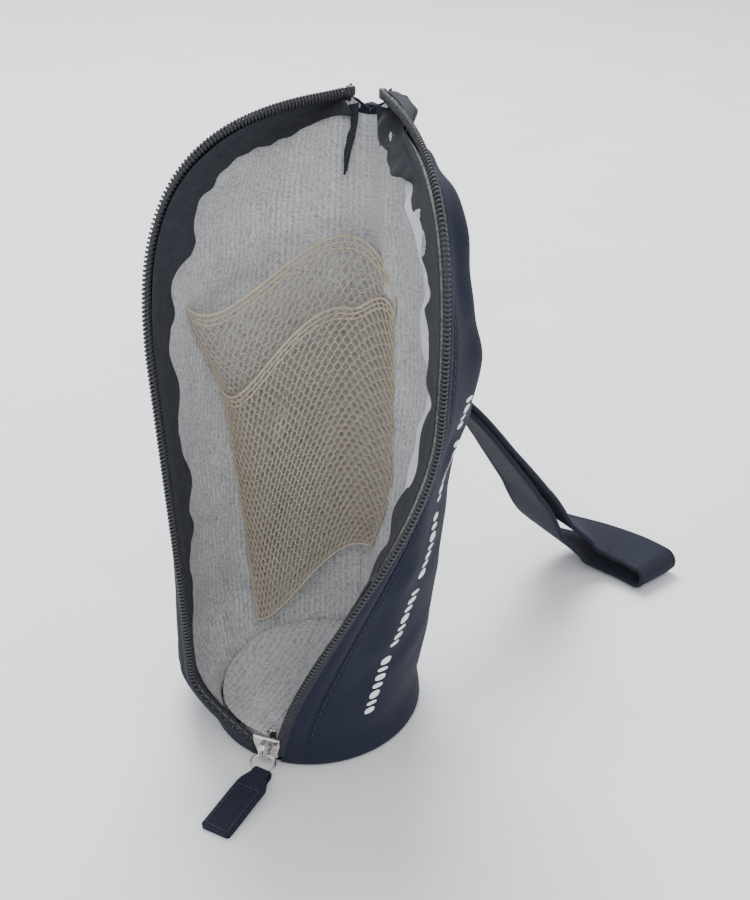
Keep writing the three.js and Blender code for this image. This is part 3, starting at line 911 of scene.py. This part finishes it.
def spine_binding():
    """The bound seam that joins the two walls."""
    rows, around = 150, 16
    height = np.linspace(2.6, 221, rows)
    sway = 0.25 * waves(height, 0 * height, 40, 61)
    path = np.stack([sway, np.full_like(height, SPINE_Y + 0.95), height], -1)
    angle = np.linspace(0, 2 * math.pi, around, endpoint=False)
    x = path[:, None, 0] + 2.6 * np.cos(angle)
    y = path[:, None, 1] + 1.3 * np.sin(angle)
    z = np.broadcast_to(path[:, None, 2], x.shape)
    ends = [path[0] - [0, 0, 0.6], path[-1] + [0, 0, 0.8]]
    points = np.vstack([np.stack([x, y, z], -1).reshape(-1, 3), ends])
    rim = np.arange(around)
    turned = np.roll(rim, -1)
    last, foot_hub, top_hub = (rows - 1) * around, rows * around, rows * around + 1
    faces = grid_faces(rows, around, wrap_columns=True).tolist()
    faces += [[int(a), int(b), foot_hub] for a, b in zip(turned, rim)]
    faces += [[int(a) + last, int(b) + last, top_hub] for a, b in zip(rim, turned)]
    mesh = bpy.data.meshes.new("spine_binding")
    mesh.from_pydata((points / 1000).tolist(), [], faces)
    lay_flat(mesh, points[:, [0, 2]])
    binding = placed("spine_binding", mesh, NAVY)
    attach(binding, "bag_base")
    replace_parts(binding, "spine_seam")
    return binding


def spine_stitches():
    """Two rows of stitches down the back of the spine."""
    stitches = []
    for low in np.arange(6, 216, STITCH_STEP):
        z = np.linspace(low, low + 2.4, 5)
        for x in (-1.3, 1.3):
            y = SPINE_Y + 2.07 + 0.2 * STITCH_RISE
            stitches.append(tube(np.stack([np.full(5, x), y, z], -1), 0.2, 5))
    row = add_tubes("spine_stitches", stitches, THREAD)
    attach(row, "bag_base")
    return row


def soft_block(name, low, high, material):
    """A closed block with rounded edges, between two corners in mm."""
    shape = bmesh.new()
    bmesh.ops.create_cube(shape, size=2)
    bmesh.ops.subdivide_edges(shape, edges=shape.edges[:], cuts=BLOCK_CUTS, use_grid_fill=True)
    half = (high - low) / 2
    corner = min(half) * BLOCK_ROUNDING
    spots = np.array([v.co for v in shape.verts]) * half
    core = np.clip(spots, -(half - corner), half - corner)
    away = spots - core
    size = np.linalg.norm(away, axis=1, keepdims=True)
    spots = core + away / np.maximum(size, 1e-9) * np.minimum(size, corner)
    spots += (low + high) / 2
    for vertex, spot in zip(shape.verts, spots):
        vertex.co = Vector(spot) / 1000
    mesh = bpy.data.meshes.new(name)
    shape.to_mesh(mesh)
    shape.free()
    lay_flat(mesh, spots[:, [0, 2]])
    return placed(name, mesh, material)


def strap_patch():
    """The sewn patch that holds the strap's ends on the spine, with a boxed cross of stitches."""
    low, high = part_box("strap_anchor")
    block = soft_block("strap_patch", np.array(low) * 1000, np.array(high) * 1000, WEBBING)
    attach(block, "bag_base")
    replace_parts(block, "strap_anchor")
    y = high[1] * 1000 - 0.02
    left, right, bottom, top = -9.5, 9.5, low[2] * 1000 + 2.5, high[2] * 1000 - 2.5
    corners = [(left, bottom), (right, bottom), (right, top), (left, top)]
    lines = list(zip(corners, corners[1:] + corners[:1]))
    lines += [(corners[0], corners[2]), (corners[3], corners[1])]

    def place(x, z, lift):
        return np.stack([x, y + lift, z], -1)

    stitches = stitched_lines(lines, 2.4, place, 0.16, 0.22)
    row = add_tubes("patch_stitches", stitches, THREAD)
    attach(row, "bag_base")
    return row


# ---------------------------------------------------------------- wrist strap
STRAP_POINTS = np.array([
    [0, 55.5, 151], [1.5, 62, 138], [12, 69, 120], [26, 78, 100], [38, 92, 75], [48, 108, 50],
    [56, 124, 26], [67, 137, 12], [80, 141, 7.2], [92, 139, 6.3], [101, 135, 6.2],
])
STRAP_WIDTH = 25.0
STRAP_HALF_GAP = (1.3, 4.0)
STRAP_PARTING = (0.35, 0.9)
STRAP_LAYER_SHARE = 0.46
BAND_THICK = 1.9


def smooth_line(points, count):
    """A smooth line through points, evenly sampled."""
    points = np.asarray(points, float)
    ends = np.vstack([2 * points[0] - points[1], points, 2 * points[-1] - points[-2]])
    line = []
    for a, b, c, d in zip(ends, ends[1:], ends[2:], ends[3:]):
        for t in np.linspace(0, 1, 24, endpoint=False):
            square, cube = 2 * a - 5 * b + 4 * c - d, 3 * b - a - 3 * c + d
            line.append(0.5 * (2 * b + (c - a) * t + square * t**2 + cube * t**3))
    line.append(points[-1])
    line = np.array(line)
    run = np.concatenate([[0.0], np.cumsum(np.linalg.norm(np.diff(line, axis=0), axis=1))])
    wanted = np.linspace(0, run[-1], count)
    return np.stack([np.interp(wanted, run, line[:, k]) for k in range(3)], -1), run[-1]


def strap_frame(layer):
    """The strap's middle line and its directions at shares of its length."""
    line, length = smooth_line(STRAP_POINTS, 400)
    run = np.gradient(line, axis=0)
    run /= np.linalg.norm(run, axis=1, keepdims=True)
    across = np.stack([run[:, 1], -run[:, 0], 0 * run[:, 0]], -1)
    across /= np.linalg.norm(across, axis=1, keepdims=True)
    above = np.cross(across, run)
    above /= np.linalg.norm(above, axis=1, keepdims=True)
    spot = layer * 399

    def pick(rows):
        return np.stack([np.interp(spot, np.arange(400), rows[:, k]) for k in range(3)], -1)

    return pick(line), pick(run), pick(across), pick(above), length


def strap_place(share, across_share, height):
    """A point on the doubled band: share runs out along the upper layer, round the fold and back."""
    layer = np.minimum(1.0, np.minimum(share, 1 - share) / STRAP_LAYER_SHARE)
    bend = np.clip((share - STRAP_LAYER_SHARE) / (1 - 2 * STRAP_LAYER_SHARE), 0, 1) * math.pi
    half = mix(*STRAP_HALF_GAP, ease(layer, *STRAP_PARTING))
    middle, run, across, above, _ = strap_frame(layer)
    radius = half + height
    points = middle + run * (radius * np.sin(bend))[..., None]
    points = points + above * (radius * np.cos(bend))[..., None]
    return points + across * (STRAP_WIDTH * across_share)[..., None]


def wrist_strap():
    """A band doubled back on itself at its far end."""
    count, wide = 260, 27
    layers = np.linspace(0, 1, count)
    sides = np.linspace(-0.5, 0.5, wide)
    share, side = np.meshgrid(layers, sides, indexing="ij")
    length = 2 * strap_frame(np.array([0.0]))[4]
    edge = ease(np.abs(side), 0.40, 0.5)
    swell = 0.25 * ridge(np.abs(side) - 0.455, 0.03) - 0.18 * ridge(np.abs(side) - 0.40, 0.02)
    cup = 0.35 * waves(share * length, side * 25, 50, 71)
    up = BAND_THICK / 2 * (1 - 0.75 * ease(np.abs(side), 0.465, 0.5)) + swell
    flat = np.stack([side * STRAP_WIDTH, share * length], -1)
    front = strap_place(share, side, cup * (1 - edge) + up)
    back = strap_place(share, side, cup * (1 - edge) - up)
    band = add_shell("strap_band", front, back, WEBBING, flat)
    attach(band, "strap")
    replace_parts(band, "wrist_strap")
    return band


def strap_stitches():
    """A row of stitches along each edge of the strap's upper layer."""
    stitches = []
    length = 2 * strap_frame(np.array([0.0]))[4]
    step = 2.6 / length
    for row in (-0.40, 0.40):
        for start in np.arange(0.01, 0.44, step):
            spots = start + np.linspace(0, 0.75, 5) * step
            height = BAND_THICK / 2 - 0.1 + 0.15 * STITCH_RISE
            place = strap_place(spots, np.full(5, row), height)
            stitches.append(tube(place, 0.16, 5))
    row = add_tubes("strap_stitches", stitches, THREAD)
    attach(row, "strap")
    return row


# ---------------------------------------------------------------- net pocket
# Upright guide lines of the net, from its foot to its top: left edge, middle, spine and right edge.
NET_GUIDES = (
    [(-35.0, 19.0, 14), (-40.5, 22.5, 43), (-42.0, 17.0, 81),
     (-42.5, 9.0, 118), (-43.0, -4.5, 141), (-41.5, -16.0, 161)],
    [(-19.0, 25.0, 30), (-22.0, 24.0, 60), (-22.0, 20.0, 95),
     (-23.0, 15.0, 128), (-22.0, 10.0, 150), (-20.5, 9.0, 168)],
    [(-3.0, 34.5, 48), (-2.0, 32.5, 75), (-1.0, 31.0, 105),
     (-1.0, 31.0, 132), (0.0, 32.0, 155), (1.0, 35.0, 175)],
    [(7.5, 35.0, 50), (15.5, 31.5, 78), (16.5, 32.0, 100),
     (15.0, 33.5, 121), (14.5, 33.5, 140), (15.0, 33.0, 156)],
)
NET_GUIDE_SHARES = np.array([0.0, 0.42, 0.80, 1.0])
NET_STRANDS = 50
NET_ROWS = 25
NET_THREAD = 0.27


def bent_through(values, shares, wanted):
    """Smooth interpolation of points through shares."""
    total = np.zeros((*wanted.shape, 3))
    for i, low in enumerate(shares):
        weight = np.ones_like(wanted)
        for k, other in enumerate(shares):
            if k != i:
                weight = weight * (wanted - other) / (low - other)
        total += weight[..., None] * values[i]
    return total


def net_place(across, up, layer):
    """A point of the net: across from the left edge, up from its foot; layer 0 behind and 1 in front."""
    guides = []
    for guide in NET_GUIDES:
        line, _ = smooth_line(guide, 60)
        spot = np.clip(up, 0, 1) * 59
        guides.append(np.stack([np.interp(spot, np.arange(60), line[:, k]) for k in range(3)], -1))
    points = bent_through(guides, NET_GUIDE_SHARES, across)
    gathers = 1.6 * np.sin(across * 21 + 1.5 * up) * ease(across, 0.5, 0.8)
    ruffle = 1.7 * waves(across * 80, up * 130, 34, 81 + layer) + gathers
    slack = np.sin(math.pi * np.clip(across, 0, 1)) * ease(up, 0.0, 0.15)
    forward = (ruffle + 3.2 * layer) * slack + 0.9 * layer
    return points + np.array([0.30, -0.86, 0.35]) * forward[..., None]


def net_mouth(across):
    """How far up the front layer reaches."""
    return mix(0.70, 0.80, ease(across, 0, 0.75)) + 0.14 * ease(across, 0.78, 1.0)


def net_half(side):
    """The strands of both layers on one side of the spine, with the hems and the sewn edges."""
    split = NET_GUIDE_SHARES[2]
    tubes = []
    for layer in (0, 1):
        for k in range(NET_STRANDS):
            middle = (k + 0.5) / NET_STRANDS
            if (middle < split) != (side == "left"):
                continue
            top = net_mouth(np.array(middle)) if layer else 1.0
            count = int(NET_ROWS * 8 * top)
            up = np.linspace(0, float(top), count)
            beat = np.clip(1.7 * np.sin(2 * math.pi * up * NET_ROWS + 0.9 * layer), -1, 1)
            sway = 0.45 * beat * (-1) ** k / NET_STRANDS
            tubes.append(tube(net_place(middle + sway, up, layer), NET_THREAD, 5))
        low, high = (0.0, split) if side == "left" else (split, 1.0)
        along = np.linspace(low, high, 90 if side == "left" else 30)
        tops = net_mouth(along) if layer else np.ones_like(along)
        for drop, radius in ((0.0, 0.55), (0.016, 0.34), (0.032, 0.34)):
            tubes.append(tube(net_place(along, tops - drop, layer), radius, 6))
        tubes.append(tube(net_place(along, np.zeros_like(along), layer), 0.5, 6))
    edge = 0.0 if side == "left" else 1.0
    up = np.linspace(0, 1, 140)
    for inset in (0.0, 0.012):
        tubes.append(tube(net_place(np.full(140, abs(edge - inset)), up, 0), 0.42, 6))
    net = add_tubes("net_" + side, tubes, NET)
    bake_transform(net)
    return net


# ---------------------------------------------------------------- slider, ring and tab
SLIDER_TURN = math.atan2(13, 146)
SLIDER_AT = np.array([0.0, -43.0 - 3.2 * math.tan(SLIDER_TURN), 8.2])
RING_RADIUS = 4.4
RING_SLOPE = math.radians(12)
RING_YAW = math.radians(20)
RING_HINGE = np.array([0.0, -3.95, -1.4])
TAB_SLOPE = math.radians(6.6)
TAB_YAW = math.radians(-7)
TAB_LENGTH = 29.5
TAB_WIDTH = 11.5


def turned_x(points, angle):
    points = np.asarray(points, float)
    c, s = math.cos(angle), math.sin(angle)
    return points @ np.array([[1, 0, 0], [0, c, s], [0, -s, c]])


def turned_z(points, angle):
    points = np.asarray(points, float)
    c, s = math.cos(angle), math.sin(angle)
    return points @ np.array([[c, s, 0], [-s, c, 0], [0, 0, 1]])


def slider_place(points):
    return turned_x(points, SLIDER_TURN) + SLIDER_AT


RING_AT = slider_place(RING_HINGE[None])[0]


def ring_place(points):
    return turned_z(turned_x(points, RING_SLOPE), RING_YAW) + RING_AT


TAB_AT = ring_place([[0, -2 * RING_RADIUS, 0]])[0]


def tab_place(points):
    return turned_z(turned_x(points, TAB_SLOPE), TAB_YAW) + TAB_AT


def block_corners(low, high):
    return [(x, y, z) for x in (low[0], high[0]) for y in (low[1], high[1]) for z in (low[2], high[2])]


def slider_metal():
    """The slider's plates, flanks and post as one piece, and the arch that holds the ring."""
    half_outline = [(3.6, -4.5), (4.6, 0.0), (5.2, 1.6), (5.2, 4.5)]
    outline = [(x * flank, z) for x, z in half_outline for flank in (-1, 1)]
    plate = [(x, y, z) for x, z in outline for y in (-1.5, -0.5)]
    plate += [(x * 0.6, -1.8, z * 0.7) for x, z in outline]
    parts = [plate]
    for left in (-5.2, 4.5):
        parts.append(block_corners((left, -1.0, 1.2), (left + 0.7, 1.3, 4.4)))
    for left in (-4.1, 3.4):
        parts.append(block_corners((left, -1.0, -4.4), (left + 0.7, 1.0, -1.0)))
    parts.append(block_corners((-0.35, -0.6, 0.6), (0.35, 3.4, 4.2)))
    parts.append(block_corners((-1.8, 2.9, -4.5), (1.8, 3.8, 4.5)))
    pieces = [hull("part", slider_place(p), NICKEL, 0.22) for p in parts]
    metal = joined("slider_metal", pieces)
    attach(metal, "slider")
    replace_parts(metal, "slider_body")
    half_arch = [(1.5, 3.5), (2.8, 3.55), (4.8, 3.2), (5.5, 1.9)]
    arch = half_arch + [(5.6, 0)] + [(out, -rise) for out, rise in half_arch[::-1]]
    path, _ = smooth_line([(0, -out, rise) for out, rise in arch], 50)
    run = np.gradient(path, axis=0)
    run /= np.linalg.norm(run, axis=1, keepdims=True)
    out = np.stack([0 * run[:, 0], -run[:, 2], run[:, 1]], -1)
    angle = np.linspace(0, 2 * math.pi, 20, endpoint=False)
    wide = 1.1 * np.sign(np.cos(angle)) * np.abs(np.cos(angle)) ** 0.5
    thick = 0.45 * np.sign(np.sin(angle)) * np.abs(np.sin(angle)) ** 0.5
    points = path[:, None] + out[:, None] * thick[None, :, None]
    points[:, :, 0] += wide[None, :]
    crown = add_piece("slider_arch", slider_place(points.reshape(-1, 3)), capped(50, 20), NICKEL)
    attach(crown, "slider")
    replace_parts(crown, "slider_crown")
    return crown


def capped(rows, sides):
    """Faces of a tube of rings whose two ends are closed by folding each ring flat."""
    faces = grid_faces(rows, sides, wrap_columns=True)
    ends = []
    for start in (0, (rows - 1) * sides):
        for k in range(1, sides // 2):
            quad = [start + k, start + k + 1, start + sides - k - 1, start + sides - k]
            if k == sides // 2 - 1:
                quad = [start + k, start + k + 1, start + k + 1, start + sides - k]
            ends.append(quad if start == 0 else quad[::-1])
        first = [start, start + 1, start + sides - 1, start + sides - 1]
        ends.append(first if start == 0 else first[::-1])
    return np.vstack([faces, ends])


def joined(name, pieces):
    """Several objects made into one."""
    whole = bmesh.new()
    for piece in pieces:
        whole.from_mesh(piece.data)
    material = pieces[0].data.materials[0]
    for piece in pieces:
        data = piece.data
        bpy.data.objects.remove(piece)
        bpy.data.meshes.remove(data)
    mesh = bpy.data.meshes.new(name)
    whole.to_mesh(mesh)
    whole.free()
    return placed(name, mesh, material)


def pull_ring():
    """The round wire between the slider and the tab."""
    angle = np.linspace(0, 2 * math.pi, 72, endpoint=False)
    out = RING_RADIUS * (np.cos(angle) - 1)
    loop = np.stack([RING_RADIUS * np.sin(angle), out, 0 * angle], -1)
    ring = add_tubes("ring_wire", [tube(ring_place(loop), 0.62, 14, closed=True)], NICKEL)
    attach(ring, "ring")
    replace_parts(ring, "pull_ring")
    return ring


def pull_tab():
    """Webbing folded round the ring, its two layers sewn together."""
    reach = np.linspace(TAB_LENGTH, 3.2, 60)
    bow = 0.15 * np.sin(reach / 6)
    swell = 1 - ease(reach, 2.8, 6.5)
    top_line = np.stack([-reach, mix(0.60, 1.55, swell) + bow], -1)
    turn = np.linspace(math.radians(125), math.radians(-125), 30)
    loop = 1.75 * np.stack([np.cos(turn), np.sin(turn)], -1)[1:-1]
    bottom_line = np.stack([-reach[::-1], -mix(0.60, 1.55, swell[::-1]) + bow[::-1]], -1)
    line = np.vstack([top_line, loop, bottom_line])
    smoothed = [np.convolve(np.pad(line[:, k], 2, "edge"), np.ones(5) / 5, "valid") for k in range(2)]
    line = np.stack(smoothed, -1)
    run = np.gradient(line, axis=0)
    run /= np.linalg.norm(run, axis=1, keepdims=True)
    out = np.stack([-run[:, 1], run[:, 0]], -1)
    travelled = np.concatenate([[0.0], np.cumsum(np.linalg.norm(np.diff(line, axis=0), axis=1))])
    side = np.linspace(-1, 1, 21)
    half = mix(3.3, TAB_WIDTH / 2, ease(-line[:, 0], 0.5, 7.0))
    half = half - 0.7 * (1 - ease(TAB_LENGTH + line[:, 0], 0, 1.0))
    edge = 1 - 0.6 * ease(np.abs(side), 0.86, 1.0)
    rows = []
    for sign in (1, -1):
        thick = 0.52 * edge[None, :] * sign
        rows.append(np.stack([
            half[:, None] * side[None, :],
            line[:, None, 0] + out[:, None, 0] * thick,
            line[:, None, 1] + out[:, None, 1] * thick,
        ], -1))
    flat = np.stack(np.broadcast_arrays(half[:, None] * side[None, :], travelled[:, None]), -1)
    tab = add_shell("tab_webbing", tab_place(rows[0]), tab_place(rows[1]), WEBBING, flat)
    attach(tab, "tab")
    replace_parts(tab, "pull_tab")
    return tab


def tab_stitches():
    """A rectangle of stitches through the tab's two layers."""
    lines = [
        ((-4.4, -8), (-4.4, -28)), ((4.4, -8), (4.4, -28)),
        ((-4.4, -28), (4.4, -28)), ((-4.4, -8), (4.4, -8)),
    ]

    def place(x, y, lift):
        return tab_place(np.stack([x, y, 1.12 + 0.15 * np.sin(-y / 6) + lift], -1))

    stitches = stitched_lines(lines, 2.2, place, 0.12, 0.17)
    row = add_tubes("tab_stitches", stitches, THREAD)
    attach(row, "tab")
    return row


def bottom_stop():
    """The clamp under the slider."""
    low, high = (np.array(corner) * 1000 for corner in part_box("bottom_stop"))
    stop = hull("stop_clamp", block_corners(low, high), NICKEL, 0.3)
    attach(stop, "bag_base")
    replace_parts(stop, "bottom_stop")
    return stop


# ---------------------------------------------------------------- floor and light
def add_stage():
    """A plain pale floor, a soft sky and two area lights."""
    look = Look("pale_floor", Roughness=0.6)
    grain = look.noise(look.place(), 60.0)
    colour = look.colours(grain, (0.3, (0.76, 0.765, 0.78)), (0.7, (0.80, 0.805, 0.815)))
    material = look.finish(colour)
    mesh = bpy.data.meshes.new("floor")
    mesh.from_pydata([(-4, -4, 0), (4, -4, 0), (4, 4, 0), (-4, 4, 0)], [], [(0, 1, 2, 3)])
    mesh.materials.append(material)
    floor = bpy.data.objects.new("floor", mesh)
    bpy.context.scene.collection.objects.link(floor)
    world = bpy.data.worlds.new("world")
    world.use_nodes = True
    world.node_tree.nodes["Background"].inputs[0].default_value = (0.93, 0.96, 1.0, 1)
    world.node_tree.nodes["Background"].inputs[1].default_value = 1.12
    bpy.context.scene.world = world
    for name, place, size, power in (
        ("key", (-0.55, 0.85, 1.5), 0.9, 42.0),
        ("fill", (0.6, -1.5, 1.3), 1.4, 16.0),
    ):
        data = bpy.data.lights.new(name, "AREA")
        data.size, data.energy = size, power
        light = bpy.data.objects.new(name, data)
        light.location = place
        light.rotation_mode = "QUATERNION"
        light.rotation_quaternion = (Vector((0, 0, 0.1)) - Vector(place)).to_track_quat("-Z", "Y")
        bpy.context.scene.collection.objects.link(light)


# ---------------------------------------------------------------- the whole pouch
for side in SIDES:
    outer_shell(side)
    lining(side)
    rim_lip(side)
    tape(side)
    tape_tail(side)
    coil(side)
    seam_stitches(side)
    top_stop(side)
selvage()
print_dashes()
base_cloth()
base_lining()
spine_binding()
spine_stitches()
strap_patch()
nets = {side: net_half(side) for side in SIDES}
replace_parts(nets["left"], "net_pocket", "net_hem")
slider_metal()
pull_ring()
pull_tab()
tab_stitches()
bottom_stop()
wrist_strap()
strap_stitches()
add_stage()
